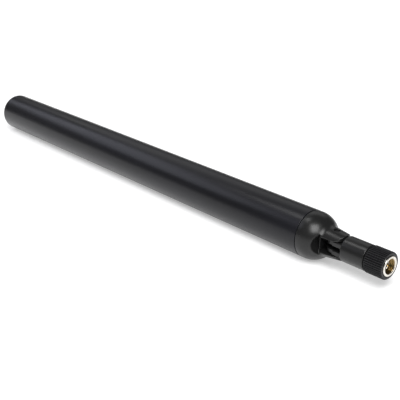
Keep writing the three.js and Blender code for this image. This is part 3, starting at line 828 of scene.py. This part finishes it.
def connector_body(material):
    start, mating, _ = span("connector_body")
    barrel_end = span("swivel_barrel")[1]
    barb_end = barrel_end - BARREL_LIP - RUNNING
    barb_start = barb_end - BARB_LENGTH
    collar = (barrel_end + RUNNING, barrel_end + RUNNING + COLLAR_LENGTH)
    groove_start, groove_end, _ = span("nut_snap_ring")
    groove = (groove_start - FIT, groove_end + FIT)
    groove_floor = NECK_RADIUS - SNAP_GROOVE_DEPTH
    flange = (groove[1] + FLANGE_SETBACK, span("gasket")[0] - FIT)
    bore = span("insulator")[2] + FIT
    core = span("coax_core_plug_end")[2] + FIT
    bore_end = span("insulator")[0] - FIT
    outline = softened([
        (start, core), (start, TAIL_RADIUS, 0.1), (barb_start, TAIL_RADIUS, 0.1),
        (barb_start, NECK_RADIUS, 0.1), (barb_end - BARB_LAND, BARB_RADIUS, 0.1),
        (barb_end, BARB_RADIUS, 0.08), (barb_end, NECK_RADIUS, 0.05),
        (collar[0], NECK_RADIUS), (collar[0], COLLAR_RADIUS, 0.08),
        (collar[1], COLLAR_RADIUS, 0.08), (collar[1], NECK_RADIUS),
        (groove[0], NECK_RADIUS, 0.04), (groove[0], groove_floor),
        (groove[1], groove_floor), (groove[1], NECK_RADIUS, 0.04),
        (flange[0], NECK_RADIUS), (flange[0], FLANGE_RADIUS, 0.08),
        (flange[1], FLANGE_RADIUS, 0.08), (flange[1], SLEEVE_RADIUS, 0.05),
        (mating, SLEEVE_RADIUS, 0.12), (mating, bore, 0.08), (bore_end, bore),
        (bore_end, core), (start, core),
    ], 3)
    mesh = turned("plug_body", outline, 96)
    finished("plug_body", mesh, "connector", material, "gold", "connector_body")


def insulator(material):
    start, end, radius = span("insulator")
    bore = span("centre_pin")[2] + FIT
    mesh = turned("insulator_bush", ring_of(start, end, radius, bore, 0.1), 72)
    finished("insulator_bush", mesh, "connector", material, "white_ptfe", "insulator")


def centre_pin(material):
    start, tip, radius = span("centre_pin")
    outline = softened([
        (start, 0), (start, radius, 0.05), (tip - 0.55, radius, 0.3), (tip - 0.12, radius * 0.55, 0.2),
        (tip, radius * 0.25, 0.08), (tip, 0),
    ], 5)
    finished("contact_pin", turned("contact_pin", outline, 48), "connector", material, "gold", "centre_pin")


def crimp_ferrule(material):
    """A plain sleeve that the crimping tool has squeezed to a hexagon at its middle."""
    start, end, radius = span("crimp_ferrule")
    bore = radius - FERRULE_WALL
    first, last = start + FERRULE_ROUND_END, end - FERRULE_ROUND_END
    outline = softened([
        (start, bore), (start, radius, 0.1), (first, radius, 0.1),
        (first + SQUEEZE_RUNOUT, radius, 0.1, 6), (last - SQUEEZE_RUNOUT, radius, 0.1, 6),
        (last, radius, 0.1), (end, radius, 0.1), (end, bore), (start, bore),
    ], 2)
    mesh = turned("crimped_ferrule", outline, 72)
    finished("crimped_ferrule", mesh, "connector", material, "nickel", "crimp_ferrule")


def snap_ring(material):
    start, end, outer = span("nut_snap_ring")
    inner = NECK_RADIUS - SNAP_GROOVE_DEPTH + FIT
    wire = (end - start) / 2
    open_half = math.radians(SNAP_OPENING / 2)
    reach = outer + wire

    def field(x, y, z):
        z = z - AXIS_Z
        out = np.hypot(y, z)
        ring = both(slab(x, start, end, 0.15), slab(out, inner, outer), 0.15)
        opening = np.abs(np.arctan2(y, z)) - open_half
        return without(ring, opening * out, 0.1)

    low = (start - wire, -reach, AXIS_Z - reach)
    high = (end + wire, reach, AXIS_Z + reach)
    mesh = meshed("spring_ring", field, low, high, SNAP_RING_CELL)
    finished("spring_ring", mesh, "connector", material, "nickel", "nut_snap_ring", crease=60)


def gasket(material):
    start, end, outer = span("gasket")
    mesh = turned("sealing_ring", ring_of(start, end, outer, SLEEVE_RADIUS + FIT, 0.2), 72)
    finished("sealing_ring", mesh, "connector", material, "red_silicone", "gasket")


def nut_insert(material):
    start, front, corner = span("nut_insert")
    cover_front = span("knurled_cover")[1]
    ring_start = cover_front - NUT_RING_LENGTH
    major = THREAD_MAJOR_RADIUS
    minor = major - THREAD_DEPTH
    chamber = (span("nut_snap_ring")[0] - FIT, span("gasket")[1] + SWEEP_CLEARANCE)
    chamber_radius = span("nut_snap_ring")[2] + RUNNING
    threaded = rows_between(front - THREAD_DEPTH, chamber[1], minor, 0.05)
    outline = softened([
        (start, NECK_RADIUS + RUNNING), (start, corner, 0.15, 6), (ring_start, corner, 0.1, 6),
        (ring_start, NUT_RING_RADIUS), (front, NUT_RING_RADIUS, 0.22), (front, major, 0.08),
        (front - THREAD_DEPTH, minor),
    ], 4)[:-1] + threaded + softened([
        (chamber[1], chamber_radius), (chamber[0], chamber_radius), (chamber[0], NECK_RADIUS + RUNNING),
        (start, NECK_RADIUS + RUNNING),
    ])
    mesh = turned("threaded_insert", outline, 96)
    cut = mesh.attributes.new("cut", "FLOAT", "POINT")
    for vertex, mark in zip(mesh.vertices, cut.data):
        x, y, z = vertex.co / MM
        on_bore = abs(math.hypot(y, z - AXIS_Z) - minor) < 0.01 and x > chamber[1] - 0.01
        mark.value = min(1, max(0, (x - chamber[1]) / THREAD_PITCH)) if on_bore else 0
    mesh = carried_out(
        "threaded_insert", mesh, screw_thread(), Pitch=THREAD_PITCH * MM, Depth=THREAD_DEPTH * MM,
        Centre=AXIS_Z * MM, Finish=material,
    )
    finished("threaded_insert", mesh, "coupling_nut", material, "nickel", "nut_insert")


def knurled_cover(material):
    start, front, radius = span("knurled_cover")
    insert_start, _, corner = span("nut_insert")
    pocket = (insert_start - 2 * FIT, front - NUT_RING_LENGTH + FIT)
    pocket_radius = corner + FIT
    hole = NUT_RING_RADIUS + FIT
    chamfer = COVER_FRONT_CHAMFER
    knurled = softened([
        (start + 0.3, radius - 0.5), (start + 0.3, radius, 0.3), (front - chamfer, radius, 0.2),
        (front, radius - chamfer, 0.2), (front, hole + 0.15, 0.1),
    ], 6)
    outline = [
        (start, hole, 0), (start, radius - 0.55, 0), (start + 0.05, radius - 0.45, 0), *knurled[1:],
        (front - 0.1, hole, 0), (pocket[1], hole, 0), (pocket[1], pocket_radius, 0),
        (pocket[0], pocket_radius, 0), (pocket[0], hole, 0), (start, hole, 0),
    ]
    mesh = turned("knurled_grip", outline, KNURL_RIDGES * KNURL_POINTS)
    mesh = carried_out(
        "knurled_grip", mesh, straight_knurl(), Ridges=KNURL_RIDGES, Radius=radius * MM,
        Depth=KNURL_DEPTH * MM, Centre=AXIS_Z * MM, Finish=material,
    )
    finished("knurled_grip", mesh, "coupling_nut", material, "cover_black", "knurled_cover", crease=40)


# ---- CAD nodes that keep their own shape ----


def painted(materials):
    """Gives the sealed-in nodes whose CAD shape is right their finish."""
    finishes = {
        "antenna_board": "board", "copper_upper_arm": "copper", "copper_lower_arm": "copper",
        "foam_pad_tip": "foam", "foam_pad_base": "foam",
        "coax_core_tail": "ptfe", "coax_core_plug_end": "ptfe",
    }
    for node, finish in finishes.items():
        slots = frame["nodes"][node].data.materials
        slots.clear()
        slots.append(materials[finish])


# ---- camera, floor and light ----


def camera():
    """The lens is level and looks down at the connector's end, with the rod going away to the left."""
    azimuth, elevation = math.radians(48.63), math.radians(22.53)
    data = bpy.data.cameras.new("camera")
    data.lens = 69.5
    data.sensor_width = 36
    view = bpy.data.objects.new("camera", data)
    view.location = (0.2789, -0.2180, 0.1404)
    level = math.cos(elevation)
    back = Vector((math.sin(azimuth) * level, -math.cos(azimuth) * level, math.sin(elevation)))
    view.rotation_euler = (-back).to_track_quat("-Z", "Y").to_euler()
    bpy.context.scene.collection.objects.link(view)
    bpy.context.scene.camera = view


def floor():
    """A light table: white acrylic lit from below, more so away from the antenna."""
    mesh = bpy.data.meshes.new("floor")
    edge = FLOOR_HALF
    corners = [(-edge, -edge, 0), (edge, -edge, 0), (edge, edge, 0), (-edge, edge, 0)]
    mesh.from_pydata(corners, [], [(0, 1, 2, 3)])
    plane = bpy.data.objects.new("floor", mesh)
    plane.location.z = -0.05 * MM
    bpy.context.scene.collection.objects.link(plane)
    material, tree, shader, place = surface("white acrylic", "#f4f4f4", Roughness=0.2, IOR=1.49)
    shader.inputs["Emission Color"].default_value = (1, 1, 1, 1)
    away = add(tree, "ShaderNodeVectorMath", {0: place}, operation="LENGTH").outputs["Value"]
    tree.links.new(between(tree, away, 0.4, 1.1, 0.12, 0.6), shader.inputs["Emission Strength"])
    mesh.materials.append(material)


def softbox(name, place, target, size, power, colour="#ffffff"):
    """A soft rectangular light, placed in metres, with its power in watts."""
    data = bpy.data.lights.new(name, "AREA")
    data.shape = "RECTANGLE"
    data.size, data.size_y = size
    data.energy = power
    data.color = linear(colour)[:3]
    light = bpy.data.objects.new(name, data)
    light.location = place
    light.rotation_euler = (Vector(target) - Vector(place)).to_track_quat("-Z", "Y").to_euler()
    bpy.context.scene.collection.objects.link(light)


def studio():
    """Plain soft light: a large key, a cool strip along the rod, and two weaker lights."""
    world = bpy.data.worlds.new("studio")
    world.use_nodes = True
    background = world.node_tree.nodes["Background"]
    background.inputs["Color"].default_value = (1, 1, 1, 1)
    background.inputs["Strength"].default_value = 0.12
    bpy.context.scene.world = world
    bpy.context.scene.view_settings.view_transform = "Standard"
    softbox("key", (0.6, -0.55, 1.02), (0.1, 0, 0), (0.8, 0.8), 15)
    softbox("left", (-0.88, -0.38, 0.7), (0.05, 0, 0), (0.9, 0.45), 2.0, "#eef0ff")
    softbox("above", (-0.36, -0.13, 0.95), (0.12, 0, 0), (0.25, 0.3), 1.2)
    softbox("behind", (-0.6, 0.7, 0.75), (0, 0, 0), (1.4, 0.6), 1.4)


def main():
    nylon = moulded_nylon()
    nickel, gold, ptfe = nickel_plate(), gold_plate(), turned_ptfe()
    radome(moulded_abs())
    hinge_base(nylon)
    hinge_pins(black_steel())
    coax({"jacket": extruded_jacket(), "braid": tinned_copper()})
    solder_joints(reflowed_solder())
    swivel_barrel(nylon)
    connector_body(gold)
    insulator(ptfe)
    centre_pin(gold)
    crimp_ferrule(nickel)
    snap_ring(nickel)
    gasket(silicone())
    nut_insert(worn_nickel())
    knurled_cover(moulded_pom())
    painted({"board": solder_mask(), "copper": etched_copper(), "foam": open_cell_foam(), "ptfe": ptfe})
    camera()
    floor()
    studio()


main()
